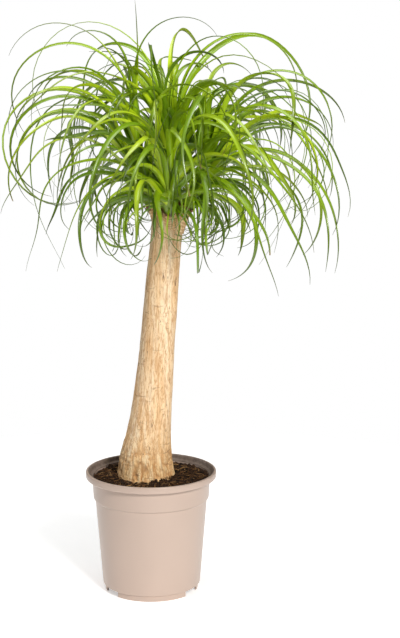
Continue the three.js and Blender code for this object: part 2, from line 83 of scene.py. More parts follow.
def soft_light(name, place, aim, width, watts, colour=(1, 1, 1)):
    """A square area light at place, turned to face aim."""
    lamp = bpy.data.lights.new(name, "AREA")
    lamp.size, lamp.energy, lamp.color = width, watts, colour
    holder = placed(name, lamp)
    holder.location = place
    back = np.subtract(place, aim)
    across = math.atan2(back[0], -back[1])
    lift = math.atan2(back[2], math.hypot(back[0], back[1]))
    holder.rotation_euler = (math.pi / 2 - lift, 0, across)


soft_light("key_light", (1.15, -2.8, 1.95), (0, 0, 0.6), 0.7, 96, (1.0, 0.985, 0.96))
soft_light("top_light", (-0.3, 0.1, 3.2), (0, 0, 0.6), 2.0, 52)
soft_light("left_rim", (-1.9, 0.9, 0.9), (0, 0, 0.45), 0.5, 4)

world = bpy.data.worlds.new("studio")
scene.world = world
world.use_nodes = True
sky, links = world.node_tree.nodes, world.node_tree.links
sky["Background"].inputs["Color"].default_value = (1, 1, 1, 1)
strength = sky.new("ShaderNodeMath")  # 1 for the camera's own rays, AMBIENT for the others
strength.operation = "MULTIPLY_ADD"
strength.inputs[1].default_value, strength.inputs[2].default_value = 1.0 - AMBIENT, AMBIENT
links.new(sky.new("ShaderNodeLightPath").outputs["Is Camera Ray"], strength.inputs[0])
links.new(strength.outputs[0], sky["Background"].inputs["Strength"])


# ---------- the plant's measures, mm
POT = Sizes(
    height=225.0, lip=120.0, lip_height=12.5, ridge=117.0, ledge=111.6, ledge_z=215.6,
    collar_top=108.5, collar_foot=106.3, collar_foot_z=175.0,
    body_top=102.9, body_foot=90.0, body_foot_z=12.5, wall=2.6, floor=11.0,
    foot=86.0, foot_inner=82.0, foot_height=8.4, centre_foot=24.0,
)
DRAINS = Sizes(azimuths=(-30, 90, 210), arc=28.0, slot=14.0, inner=74.0)
SOIL = Sizes(level=212.5, lump=1.56, mound=5.0, wall=105.0)
CRUMBS, FIBRES = 1500, 620
CORKY = Sizes(top=330.0, fade=110.0)  # where the ropy bark of the foot ends, and over how much
RIM = Sizes(centre=34.2, height=693.0, radius=27.5)  # of the trunk's top
SCALES = Sizes(head=26, rim=60)
TRUNK = np.array(
    [
        [140, -9.0, 54.0], [212, -9.0, 54.0], [224, -9.2, 52.2], [240, -9.2, 50.2],
        [258, -8.8, 47.6], [276, -7.0, 44.6], [296, -3.8, 41.4], [326, 0.2, 38.4],
        [360, 3.8, 36.0], [405, 7.8, 34.0], [450, 11.8, 32.4], [495, 15.9, 31.4],
        [540, 19.6, 30.8], [586, 23.2, 30.2], [632, 27.4, 29.0], [668, 31.0, 29.2],
        [696, 33.6, 29.8], [708, 34.8, 27.0],
    ]
)  # height, centre x, radius
CROWN = np.array([36.0, 0.0, 706.0])
HEAD_SIZES = "name foot azimuth elevation shoot leaves size fine curled".split()
HEADS = [
    Sizes(**dict(zip(HEAD_SIZES, row)))
    for row in (
        ("centre", CROWN + (2, 14, 16), 110, 84, 105, 28, 0.88, 30, 10),
        ("left", CROWN + (-30, -8, 8), 175, 68, 92, 25, 0.86, 12, 22),
        ("right", CROWN + (30, -10, 8), -5, 60, 90, 29, 0.9, 22, 26),
        ("front", CROWN + (0, -32, 4), -95, 56, 54, 28, 0.78, 8, 8),
        ("rear", CROWN + (8, 36, 6), 75, 64, 80, 25, 0.86, 20, 18),
    )
]
# Long leaves that set the outline: head, azimuth, rise, straight run, radius and angle of the
# arc, swing sideways, flick of the tip, place on the shoot, width.
LEADERS = [
    (1, 180, 95, 256, 80, 15, 0, 0, 1.0, 8),
    (1, 0, 92, 272, 38, 165, 10, 0, 0.88, 10),
    (1, 180, 88, 268, 24, 150, 0, 0, 0.82, 11),
    (1, 250, 92, 195, 30, 120, -30, 0, 0.94, 15),
    (1, 110, 88, 205, 36, 110, 40, 0, 0.76, 14),
    (1, 172, 86, 200, 96, 145, -10, 0, 0.64, 6),
    (1, 188, 79, 110, 93, 240, 0, 0, 0.34, 9),
    (1, 186, 88, 190, 86, 225, 0, 0, 0.58, 8),
    (1, 190, 84, 130, 95, 182, -20, 0, 0.5, 11),
    (1, 220, 56, 22, 84, 200, 30, 0, 0, 10),
    (1, 160, 84, 165, 60, 160, 30, 0, 0.5, 12),
    (0, 0, 97, 178, 33, 180, 0, 0, 0.75, 13),
    (0, 10, 92, 190, 22, 165, 10, 0, 0.6, 12),
    (0, -5, 83, 165, 86, 205, 0, 0, 0.8, 8),
    (0, 172, 76, 165, 44, 150, -25, 0, 0.7, 15),
    (0, 190, 84, 170, 46, 165, 30, 0, 0.55, 14),
    (0, 215, 76, 110, 50, 170, 20, 0, 0.65, 15),
    (0, -20, 74, 150, 46, 165, 30, 0, 0.5, 14),
    (0, 255, 82, 90, 44, 180, -30, 0, 0.87, 15),
    (2, 20, 100, 165, 34, 160, 0, 0, 0.9, 14),
    (2, -60, 92, 135, 38, 150, 0, 0, 0.8, 15),
    (2, 0, 84, 150, 52, 170, 0, 0, 0.7, 12),
    (2, -5, 80, 150, 89, 212, 0, 0, 0.6, 8),
    (2, -8, 66, 100, 112, 182, 0, 0, 0.15, 9),
    (2, -30, 54, 40, 103, 188, -10, 0, 0.05, 11),
    (2, -40, 50, 40, 106, 156, -10, 0, 0.1, 13),
    (2, -12, 62, 60, 106, 202, -10, 0, 0, 11),
    (2, -55, 45, 30, 85, 190, -20, 0, 0.2, 11),
    (2, -52, 34, 50, 80, 205, 10, 0, 0.1, 11),
    (2, -66, 32, 60, 116, 150, 30, 25, 0.0, 12),
    (3, -112, 30, 160, 56, 180, 20, 0, 0.05, 12),
    (3, 200, 38, 40, 66, 170, 30, 0, 0.1, 12),
]
# Long hanging leaves among the thin ones, given as the leaders are.
TAILS = [
    (2, -42, 32, 20, 172, 128, -12, 0, 0.85, 11),
    (2, -58, 28, 25, 150, 132, 18, 20, 0.6, 12),
    (2, -30, 40, 30, 146, 150, -20, 0, 0.7, 10),
    (2, -70, 22, 20, 135, 120, 30, 25, 0.5, 12),
    (0, -50, 38, 40, 160, 140, 15, 30, 0.6, 12),
    (0, -20, 48, 50, 150, 160, -15, 0, 0.8, 9),
    (1, 215, 30, 20, 150, 130, 20, 0, 0.7, 9),
    (1, 236, 26, 20, 120, 135, -20, 30, 0.5, 8),
    (4, 40, 35, 30, 140, 135, 20, 10, 0.6, 11),
    (4, 120, 35, 30, 130, 140, -20, 10, 0.6, 11),
]
CORE = Sizes(foot=13.0, tip=10.0)
NECK = Sizes(root=15.0, top=12.5, sink=34.0)
SPREAD = 324.0  # no leaf reaches further than this from the crown's axis
SEED = 7
SEEDS = Sizes(leaves=9000, thin=9100, scales=4242, peat=77)
STATIONS = Sizes(strap=38, fine=30, curled=26, hanging=34)  # rings along a blade
SEGMENTS, SUBSTEPS = 9, 4  # of the rings that the clearances are judged on
TRIES = 40
CLEAR = 0.8
NEAR = 34.0  # segments further apart than this can't meet
BOX_MARGIN = 4.0
GOLDEN_ANGLE = 137.508
FLICK, RIPPLE = 150.0, 60.0  # degrees: the most that a tip flicks up, and the ripple's range
POINTED, BLUNT, TRIMMED = 1.5, 6.0, 0.12
ROOT_OUT = 6.0  # how far a leaf's root stands out from the shoot's axis
WIDEST = 13.0
DRIFT = (26.0, 22.0)  # how much a leaf wanders sideways and up


# ---------- shader maths
def math_node(operation, swapped=False):
    """A method that joins a wire and another value, or the other way round, by a Math node."""

    def join(self, other):
        first, second = (other, self) if swapped else (self, other)
        return self.finish.node("Math", {"operation": operation}, {0: first, 1: second})

    return join


class Wire:
    """An output of a node. Arithmetic on it adds Math nodes and gives new wires."""

    def __init__(self, finish, socket):
        self.finish, self.socket = finish, socket

    __add__ = __radd__ = math_node("ADD")
    __mul__ = __rmul__ = math_node("MULTIPLY")
    __sub__, __rsub__ = math_node("SUBTRACT"), math_node("SUBTRACT", swapped=True)
    __gt__, __lt__ = math_node("GREATER_THAN"), math_node("LESS_THAN")

    def absolute(self):
        return self.finish.node("Math", {"operation": "ABSOLUTE"}, {0: self})


class Finish:
    """A material with one Principled shader, whose inputs take values or wires."""

    def __init__(self, name, **constants):
        self.material = bpy.data.materials.new(name)
        self.material.use_nodes = True
        self.nodes = self.material.node_tree.nodes
        self.links = self.material.node_tree.links
        self.shader = self.nodes["Principled BSDF"]
        for socket, value in constants.items():
            self.shader.inputs[socket.replace("_", " ")].default_value = value

    def node(self, kind, settings=None, inputs=None, output=0):
        """Adds a shader node of the kind, sets it, feeds its sockets, returns an output."""
        made = self.nodes.new("ShaderNode" + kind)
        for key, value in (settings or {}).items():
            if key == "stops":
                ramp = made.color_ramp.elements
                while len(ramp) < len(value):
                    ramp.new(0.5)
                for stop, (place, colour) in zip(ramp, value):
                    stop.position, stop.color = place, (*colour, 1)
            else:
                setattr(made, key, value)
        for key, value in (inputs or {}).items():
            self.feed(made.inputs[key], value)
        return Wire(self, made.outputs[output])

    def feed(self, socket, value):
        if isinstance(value, Wire):
            self.links.new(value.socket, socket)
        elif socket.type == "RGBA" and len(value) == 3:
            socket.default_value = (*value, 1)
        else:
            socket.default_value = value

    def set(self, socket, value):
        self.feed(self.shader.inputs[socket], value)

    def axes(self):
        """Object coordinates, one wire each."""
        coordinates = self.node("TexCoord", output="Object")
        return [self.node("SeparateXYZ", {}, {0: coordinates}, k) for k in range(3)]

    def noise(self, where, scale, detail=3.0, roughness=0.55, distortion=0.0):
        """Noise at a wire's place, or at Object coordinates stretched by three numbers."""
        if not isinstance(where, Wire):
            coordinates = self.node("TexCoord", output="Object")
            where = self.node("Mapping", inputs={"Vector": coordinates, "Scale": where})
        names = ("Vector", "Scale", "Detail", "Roughness", "Distortion")
        values = (where, scale, detail, roughness, distortion)
        return self.node("TexNoise", inputs=dict(zip(names, values)))

    def paint(self, colour, *coats):
        """The colour under coats of (share, colour), each share held between 0 and 1."""
        settings = {"data_type": "RGBA", "clamp_factor": True}
        for share, coat in coats:
            colour = self.node("Mix", settings, {0: share, 6: colour, 7: coat}, output=2)
        return colour

    def ramp(self, share, *stops):
        return self.node("ValToRGB", {"stops": stops}, {"Fac": share})

    def step(self, value, start, end):
        """A share that is 0 at start and 1 at end, straight between, whichever comes first."""
        stops = sorted([(start, (0, 0, 0)), (end, (1, 1, 1))])
        return self.node("RGBToBW", inputs={0: self.ramp(value, *stops)})

    def mark(self, name):
        """A number stored on the piece's own points."""
        return self.node("Attribute", {"attribute_name": name}, output="Fac")

    def dressed(self, colour, roughness, height, distance, strength):
        """The material with its colour, roughness and the bumps of a height."""
        self.set("Base Color", colour)
        self.set("Roughness", roughness)
        inputs = {"Height": height, "Distance": distance, "Strength": strength}
        self.set("Normal", self.node("Bump", inputs=inputs))
        return self.material


# ---------- finishes
EVEN = (1, 1, 1)


def pot_plastic():
    """Satin taupe-pink plastic, faintly mottled, with painted shade inside the lip and under the
    floor, and painted shadow lines below the lip and the collar."""
    f = Finish("pot_plastic", IOR=1.46)
    mottle = f.noise((1, 1, 0.5), 9.0, 2.0)
    colour = f.ramp(mottle, (0.3, (0.510, 0.391, 0.325)), (0.7, (0.550, 0.424, 0.352)))
    fine = f.noise(EVEN, 900.0, 2.0)
    x, y, z = f.axes()
    around = x * x + y * y
    within = lambda radius: around < (radius * MM) ** 2
    line = lambda height, half: (z - height * MM).absolute() < half * MM
    # painted shade: darker inside the lip and under the floor, where the pot lies in shade
    painted_shade_mask = within(POT.ridge - 1.0) * (z > (POT.ledge_z - 1.8) * MM)
    painted_shade_mask = painted_shade_mask + within(POT.foot - 1.5) * (z < (POT.floor + 0.6) * MM)
    # painted shadow: thin dark lines under the collar's step and under the lip
    painted_shadow_lines = line(POT.collar_foot_z - 1.2, 0.8) * 0.30
    painted_shadow_lines = painted_shadow_lines + line(POT.height - POT.lip_height - 0.9, 1.0) * 0.45
    outside = around > ((POT.body_top - 3.4) * MM) ** 2
    # the mottled colour of the painted shade
    painted_shade_noise = f.noise(EVEN, 120.0, 4.0, 0.7)
    painted_shade_colour = f.ramp(painted_shade_noise, (0.35, (0.055, 0.036, 0.026)), (0.65, (0.20, 0.150, 0.120)))
    coats = (painted_shadow_lines * outside, (0.16, 0.105, 0.080)), (painted_shade_mask * 0.8, painted_shade_colour)
    return f.dressed(f.paint(colour, *coats), 0.27 + fine * 0.12, fine, 0.00008, 0.4)


def potting_soil():
    """Dark damp peat with painted shade in its hollows, and rusty crumbs."""
    f = Finish("potting_soil", IOR=1.35)
    crumbs = f.noise(EVEN, 260.0, 4.0, 0.7)
    patches = f.noise(EVEN, 45.0, 3.0)
    # painted shade: the ramp's dark end sits where the bump's height is low, in the hollows
    dark = f.ramp(
        crumbs, (0.40, (0.004, 0.002, 0.001)), (0.54, (0.030, 0.012, 0.004)),
        (0.70, (0.115, 0.050, 0.018)),
    )
    colour = f.paint(dark, (patches * 0.6, (0.060, 0.026, 0.010)))
    return f.dressed(colour, 0.86 + crumbs * 0.12, crumbs, 0.0012, 0.9)


def peat_bits():
    """Bark crumbs and fibres, from near black to straw, each by its own tone."""
    f = Finish("peat_bits", IOR=1.35)
    grain = f.noise(EVEN, 420.0, 3.0)
    colour = f.ramp(
        f.mark("tone"), (0.0, (0.006, 0.003, 0.001)), (0.50, (0.050, 0.021, 0.007)),
        (0.78, (0.21, 0.095, 0.030)), (1.0, (0.56, 0.33, 0.13)),
    )
    colour = f.paint(colour, (grain * 0.5, (0.015, 0.006, 0.002)))
    return f.dressed(colour, 0.85, grain, 0.0006, 0.8)


def bark():
    """Pale tan bark: long fibres, orange-brown grooves, partly the bark's own colour and partly
    painted shade, dark flecks and cross cracks. Marks: "groove" 0 on the ridges to 1 in the
    grooves, "golden" 1 at the corky foot to 0 above."""
    f = Finish("bark", IOR=1.4)
    groove, golden = f.mark("groove"), f.mark("golden")
    fibres = f.noise((1, 1, 0.09), 330.0, 5.0, 0.65)
    streaks = f.noise((1, 1, 0.05), 95.0, 4.0, 0.6, 0.4)
    patches = f.noise((1, 1, 0.5), 26.0, 3.0)
    pale = f.ramp(
        streaks, (0.28, (0.76, 0.440, 0.190)), (0.44, (0.94, 0.650, 0.360)),
        (0.60, (1.0, 0.800, 0.540)), (0.80, (1.0, 0.890, 0.700)),
    )
    corky = f.ramp(
        streaks, (0.28, (0.78, 0.400, 0.120)), (0.46, (1.0, 0.640, 0.270)),
        (0.64, (1.0, 0.800, 0.470)), (0.82, (1.0, 0.890, 0.650)),
    )
    split = f.noise((1, 1, 0.13), 150.0, 3.0, 0.6, 0.8)
    hair = f.step((split - 0.5).absolute(), 0.045, 0.012)
    speckle = f.step(f.noise((1, 1, 0.28), 520.0, 4.0, 0.7, 0.5), 0.49, 0.60)
    flecks = f.step(f.noise((1, 1, 0.16), 210.0, 4.0, 0.7, 0.6), 0.625, 0.665)
    cracks = f.step(f.noise((0.16, 0.16, 1), 170.0, 3.0, 0.6, 0.3), 0.645, 0.68)
    colour = f.paint(
        pale, (golden, corky), (patches * 0.35, (1.0, 0.82, 0.58)),
        # the grooves: the bark's own orange-brown, deepened with painted shade in the recesses
        (groove * (0.68 + golden * 0.08), (0.45, 0.200, 0.060)),
        (hair * 0.62, (0.50, 0.225, 0.072)),
        (speckle * (0.34 + golden * 0.25), (0.58, 0.290, 0.110)),
        (flecks * 0.80, (0.17, 0.075, 0.032)), (cracks * 0.55, (0.32, 0.155, 0.068)),
    )
    return f.dressed(colour, 0.72 + fibres * 0.2, fibres, 0.0010, 0.75)


def strap_leaf():
    """Glossy green strap leaf: fine veins along it, yellower at its root, olive at its tip.
    Marks: "along" 0 root to 1 tip, "across" -1 to 1, "tone" 0 old and dark to 1 young and
    bright, "dry" 1 where a tip is brown, "length" in metres."""
    f = Finish("strap_leaf", IOR=1.5, Coat_Weight=0.35, Coat_Roughness=0.18)
    along, across, tone = f.mark("along"), f.mark("across"), f.mark("tone")
    parts = {"X": along * f.mark("length") * 12.0, "Y": across * 5.0, "Z": tone * 37.0}
    veins = f.noise(f.node("CombineXYZ", inputs=parts), 2.6, 3.0, 0.6)
    body = f.ramp(
        tone, (0.0, (0.016, 0.044, 0.001)), (0.35, (0.180, 0.330, 0.003)),
        (0.7, (0.430, 0.640, 0.006)), (1.0, (0.700, 0.900, 0.020)),
    )
    body = f.paint(
        body, (veins * 0.34, (0.080, 0.165, 0.003)),
        ((1.0 - along * 9.0) * 0.6, (0.46, 0.60, 0.06)),  # root
        ((along - 0.24) * 1.1, (0.095, 0.165, 0.008)),  # outer half
        ((along - 0.66) * 2.2, (0.050, 0.068, 0.022)),  # tip
        (f.mark("dry"), (0.30, 0.17, 0.06)),
        ((1.0 - across.absolute() * 7.0) * 0.30, (0.36, 0.58, 0.06)),  # middle rib
    )
    return f.dressed(body, 0.24 + veins * 0.14, veins, 0.0004, 0.6)


def dry_scale():
    """Papery red-brown remains of old leaf bases."""
    f = Finish("dry_scale", IOR=1.4)
    streaks = f.noise((1, 1, 0.25), 260.0, 4.0, 0.6)
    colour = f.ramp(
        streaks, (0.3, (0.055, 0.022, 0.010)), (0.55, (0.20, 0.085, 0.035)),
        (0.75, (0.55, 0.33, 0.16)),
    )
    return f.dressed(colour, 0.7 + streaks * 0.2, streaks, 0.0008, 0.7)


def studio_floor():
    """Pale paper, lit a little from below."""
    f = Finish("studio_floor", Roughness=0.9, Emission_Strength=0.42)
    f.set("Emission Color", (1, 1, 1))
    mottle = f.noise(EVEN, 3.0, 2.0)
    f.set("Base Color", f.ramp(mottle, (0.0, (0.95, 0.95, 0.95)), (1.0, (0.97, 0.97, 0.97))))
    return f.material


# ---------- surfaces
class Shape:
    """Closed shells gathered into one mesh, with numbers stored on their points."""

    def __init__(self):
        self.points, self.faces, self.marks, self.count = [], [], {}, 0

    def add(self, points, faces, **marks):
        """points (n, 3) in metres, faces a list of (m, k) index arrays; flipped if inside out."""
        volume = 0.0
        for group in faces:
            a = points[group[:, 0]]
            for j in range(1, group.shape[1] - 1):
                b, c = points[group[:, j]], points[group[:, j + 1]]
                volume += np.einsum("ij,ij->", a, np.cross(b, c))
        for group in faces:
            self.faces.append((group if volume > 0 else group[:, ::-1]) + self.count)
        for name, values in marks.items():
            values = np.broadcast_to(np.ravel(values).astype(float), (len(points),))
            self.marks.setdefault(name, []).append(values)
        self.points.append(points)
        self.count += len(points)

    def add_rings(self, grid, full=False, **marks):
        """A closed skin over rings of points, (rings, points round, 3) in millimetres."""
        self.add(grid.reshape(-1, 3) * MM, ring_faces(*grid.shape[:2], full), **marks)

    def make(self, name, material, slot, *nodes, crease=50):
        """The finished piece, riding on the root body in place of the CAD nodes named."""
        mesh = bpy.data.meshes.new(name)
        faces = [face for group in self.faces for face in group.tolist()]
        mesh.from_pydata(np.vstack(self.points).tolist(), [], faces)
        for mark, values in self.marks.items():
            layer = mesh.attributes.new(mark, "FLOAT", "POINT")
            layer.data.foreach_set("value", np.concatenate(values).astype(np.float32))
        mesh.shade_smooth()
        mesh.set_sharp_from_angle(angle=crease * DEG)
        mesh.materials.append(material)
        piece = placed(name, mesh)
        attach(piece, "root")
        if nodes:
            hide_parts(*nodes)


def ring_faces(rows, columns, full=False):
    """Quads of a grid that closes round its columns, with one polygon on each end; or, if
    full, one whose last row joins its first."""
    k, i = np.meshgrid(np.arange(rows if full else rows - 1), np.arange(columns), indexing="ij")
    a, b = k * columns + i, k * columns + (i + 1) % columns
    sides = np.stack([a, b, b + columns, a + columns], -1).reshape(-1, 4)
    if full:
        return [sides % (rows * columns)]
    first = np.arange(columns)[::-1][None]
    last = ((rows - 1) * columns + np.arange(columns))[None]
    return [sides, first, last]


def vectors(x, y, z):
    """Points or directions from their parts, each a number or an array."""
    return np.stack(np.broadcast_arrays(x, y, z), -1)


def round_grid(rows, columns):
    """The shares v along and u round of a grid that closes round its columns."""
    return np.meshgrid(rows, np.arange(columns) / columns, indexing="ij")


def grain(u, v, cells_u, cells_v, seed):
    """Value noise from -1 to 1: random numbers on a lattice of cells, eased between them.
    u wraps once round; v runs from 0 to 1."""
    lattice = np.random.default_rng(seed).random((cells_v + 2, cells_u)) * 2 - 1
    x, y = (u % 1.0) * cells_u, np.clip(v, 0, 1) * cells_v
    i, j = np.floor(x).astype(int), np.floor(y).astype(int)
    fx, fy = ease(x - i), ease(y - j)
    i0, i1 = i % cells_u, (i + 1) % cells_u
    low = lattice[j, i0] * (1 - fx) + lattice[j, i1] * fx
    high = lattice[j + 1, i0] * (1 - fx) + lattice[j + 1, i1] * fx
    return low * (1 - fy) + high * fy


def ease(t):
    t = np.clip(t, 0.0, 1.0)
    return t * t * (3 - 2 * t)


def unit(v):
    return v / np.linalg.norm(v, axis=-1, keepdims=True)


def direction(azimuth, elevation):
    """Unit vectors at an azimuth and an elevation, in radians."""
    level = np.cos(elevation)
    return vectors(level * np.cos(azimuth), level * np.sin(azimuth), np.sin(elevation))


# ---------- how the leaves grow
for head in HEADS:  # the shoot's axis, and two directions square to it
    head.axis = direction(head.azimuth * DEG, head.elevation * DEG)
    head.e1 = unit(np.cross([0, 0, 1], head.axis))
    head.e2 = np.cross(head.axis, head.e1)


def draws(seed):
    """A stream of numbers from 0 to 1, the same on every machine for the same seed."""
    mask = 0xFFFFFFFF
    state = seed & mask

    def draw():
        nonlocal state
        state = (state + 0x6D2B79F5) & mask
        t = ((state ^ (state >> 15)) * (state | 1)) & mask
        t = (t ^ (t + (t ^ (t >> 7)) * (t | 61))) & mask
        return (t ^ (t >> 14)) / 4294967296

    return draw


def outward(head, spin):
    """The direction square to the shoot's axis, spin radians round it."""
    return head.e1 * math.cos(spin) + head.e2 * math.sin(spin)


def aim(out):
    """Elevation and azimuth of a direction."""
    return math.asin(max(-1.0, min(1.0, out[2]))), math.atan2(out[1], out[0])


def leaning(head, tilt, spin):
    """The side on which a leaf leaves the shoot, its rise, azimuth and how upright it is."""
    side = outward(head, spin)
    rise, azimuth = aim(head.axis * math.cos(tilt * DEG) + side * math.sin(tilt * DEG))
    return side, rise, azimuth, max(0.0, math.sin(rise))


def root_on(head, place):
    """Where a leaf leaves the shoot: 0 at its foot, 1 at its tip."""
    return head.foot + head.axis * (5 + 0.94 * head.shoot * place)


def arch(rise, bend, straight, radius, longest=math.inf, **rest):
    """A leaf that rises straight, then bends over on an arc, no longer than longest."""
    length = min(straight + bend * radius, longest)
    usual = {"flick": 0.0, "point": POINTED, "fullness": None, "onset": straight / length}
    return Sizes(rise=rise, bend=bend, length=length, **{**usual, **rest})


def draw_leaf(number, index, attempt):
    """One leaf. Rank 0 is the youngest, at the shoot's tip; each next one stands 137.5 degrees
    further round, lower and further out."""
    head = HEADS[number]
    r = draws(SEED * 100003 + number * 10007 + index * 101 + attempt)
    age = (index + 0.5) / head.leaves
    tilt = 5 + 62 * age**1.1 + (r() - 0.5) * 18
    spin = index * GOLDEN_ANGLE * DEG + (r() - 0.5) * 0.8
    side, rise, azimuth, up = leaning(head, tilt, spin)
    straight = head.size * (32 + 140 * up * (0.5 + 0.7 * r()))
    wide = r()
    radius = head.size * (48 + 26 * up + 62 * up * wide * wide + 26 * r())
    bend = rise + (75 + 95 * r()) * DEG
    swing, twist, thick, lean, curl, flick, ripple, phase, cut = (r() for _ in range(9))
    radius = radius * (1 - 0.5 * curl * ease((age - 0.45) / 0.4))
    return arch(
        rise, bend, straight, radius, head.size * 820,
        azimuth=azimuth, age=age,
        swing=(swing - 0.5) * 110 * DEG, twist=(twist - 0.5) * 190 * DEG,
        width=(9.6 + 5.4 * thick) * (1.25 - 0.35 * age), lean=(lean - 0.5) * 110 * DEG,
        flick=FLICK * max(0.0, flick - 0.4) * DEG, ripple=(ripple - 0.5) * RIPPLE * DEG,
        phase=phase * TURN, point=BLUNT if cut < TRIMMED else POINTED,
        root=root_on(head, (1 - age) ** 0.8) + side * ROOT_OUT,
    )


def leader(row, number, attempt):
    """A leader, turned a little further aside with each new attempt."""
    head, azimuth, rise, straight, radius, bend, swing, flick, place, width = row
    r = draws(SEED * 7001 + number * 211 + attempt)
    return arch(
        rise * DEG, bend * DEG, straight, radius,
        azimuth=(azimuth + (r() - 0.5) * 3 * attempt) * DEG,
        swing=(swing + (r() - 0.5) * 4 * attempt) * DEG,
        twist=(r() - 0.5) * 120 * DEG, width=width, lean=(r() - 0.5) * 90 * DEG,
        flick=flick * DEG, ripple=(r() - 0.5) * RIPPLE * DEG, phase=r() * TURN,
        point=BLUNT if width > 14 else POINTED, age=0.45, fullness=2.3,
        root=root_on(HEADS[head], place) + ROOT_OUT * direction(azimuth * DEG, 0.0),
    )


def heading(leaf, u):
    """Elevation and azimuth of the leaf's middle line at u, 0 at the root and 1 at the tip:
    the rise less the bend times the share of the way past the straight run, to a power, with
    the tip flicked up again. The azimuth swings aside, and ripples more towards the tip."""
    half = leaf.onset * 0.5
    x = np.clip((u - half) / (1 - half), 0, 1)
    fall = leaf.rise - leaf.bend * x ** (1 + 0.8 * leaf.onset)
    fall = fall + leaf.flick * ease((u - 0.6) / 0.4)
    wave = leaf.ripple * u * np.sin(1.3 * TURN * u + leaf.phase)
    return fall, leaf.azimuth + leaf.swing * ease(u) + wave


def middle_line(leaf, stops, steps):
    """Points of the middle line at the stops, summed in even steps between each two."""
    lengths = np.diff(stops) / steps
    u = stops[:-1, None] + (np.arange(steps) + 0.5) * lengths[:, None]
    fall, turn = heading(leaf, u)
    moves = direction(turn, fall) * (leaf.length * lengths)[:, None, None]
    return leaf.root + np.vstack([np.zeros(3), np.cumsum(moves.sum(1), 0)])


def line_frame(leaf, u):
    """The middle line's direction at u, the level one across it, and the one above both."""
    fall, turn = heading(leaf, u)
    along = direction(turn, fall)
    level = vectors(-np.sin(turn), np.cos(turn), 0.0)
    return along, level, np.cross(along, level)


def ribbon_frame(leaf, stops):
    """Directions across the blade and out of its upper face, rolled by the twist times u²."""
    along, level, above = line_frame(leaf, stops)
    roll = (leaf.lean * ease(stops / 0.3) + leaf.twist * stops**2)[:, None]
    across = level * np.cos(roll) + above * np.sin(roll)
    return across, np.cross(along, across)


def blade_width(leaf, u):
    """Full width: narrow at the root, widest by a seventh of the way, then tapering as 1 less
    u to the power of point, which is high for a leaf that was trimmed."""
    taper = np.clip(1 - u**leaf.point, 0, 1) ** 1.1
    return leaf.width * taper * (0.4 + 0.6 * ease(u / 0.12)) + 0.9


def leaf_rings(leaf):
    """The few rings that the clearances are judged on."""
    first = max(0.06, leaf.onset * 0.6)
    stops = np.concatenate([[0], first + (1 - first) * np.arange(SEGMENTS) / (SEGMENTS - 1)])
    across, face = ribbon_frame(leaf, stops)
    at, width = middle_line(leaf, stops, SUBSTEPS), blade_width(leaf, stops)
    return {"at": at, "across": across, "face": face, "half": width / 2, "keel": 0.7 + 0.1 * width}


def half_length(ends):
    return np.linalg.norm(ends[:, 1] - ends[:, 0], axis=-1) / 2


class Obstacles:
    """Segments already taken: pairs of ring ends, or round bars with a radius."""

    def __init__(self):
        self.taken = {}

    def add(self, segments, head=-1, neck=-1, radius=0.0):
        n = len(segments["at"])
        marks = {"bar": np.full(n, radius), "head": np.full(n, head), "neck": np.full(n, neck)}
        marks.update(rank=np.arange(n), long=half_length(segments["at"]))
        for key, rows in {**segments, **marks}.items():
            self.taken[key] = np.concatenate([self.taken.get(key, rows[:0]), rows])

    def add_bar(self, start, end, radius, **owner):
        flat, none = np.zeros((1, 2, 3)), np.zeros((1, 2))
        bar = {"at": np.array([[start, end]], float), "across": flat, "face": flat}
        self.add({**bar, "half": none, "keel": none}, radius=float(radius), **owner)


def segments_of(rings):
    """Each segment's two ring ends, as arrays of shape (segments, 2, ...)."""
    return {k: np.stack([v[:-1], v[1:]], 1) for k, v in rings.items()}


def closest(p, q):
    """Vectors between the closest points of segments p and q, pair by pair, each (n, 2, 3)."""
    dot = lambda a, b: np.einsum("ij,ij->i", a, b)
    d1, d2, r = p[:, 1] - p[:, 0], q[:, 1] - q[:, 0], p[:, 0] - q[:, 0]
    a, e, f, c, b = dot(d1, d1), dot(d2, d2), dot(d2, r), dot(d1, r), dot(d1, d2)
    den = a * e - b * b
    crossing = den > 1e-9
    s = np.where(crossing, np.clip((b * f - c * e) / np.where(crossing, den, 1), 0, 1), 0)
    t = (b * s + f) / e
    s = np.where(t < 0, np.clip(-c / a, 0, 1), np.where(t > 1, np.clip((b - c) / a, 0, 1), s))
    t = np.clip(t, 0, 1)
    return (q[:, 0] + d2 * t[:, None]) - (p[:, 0] + d1 * s[:, None])


def reach(segments, n):
    """How far each segment's end rings reach from the middle line along n."""
    share = lambda key: np.abs(np.einsum("ik,ijk->ij", n, segments[key]))
    return (share("across") * segments["half"] + share("face") * segments["keel"]).max(-1)


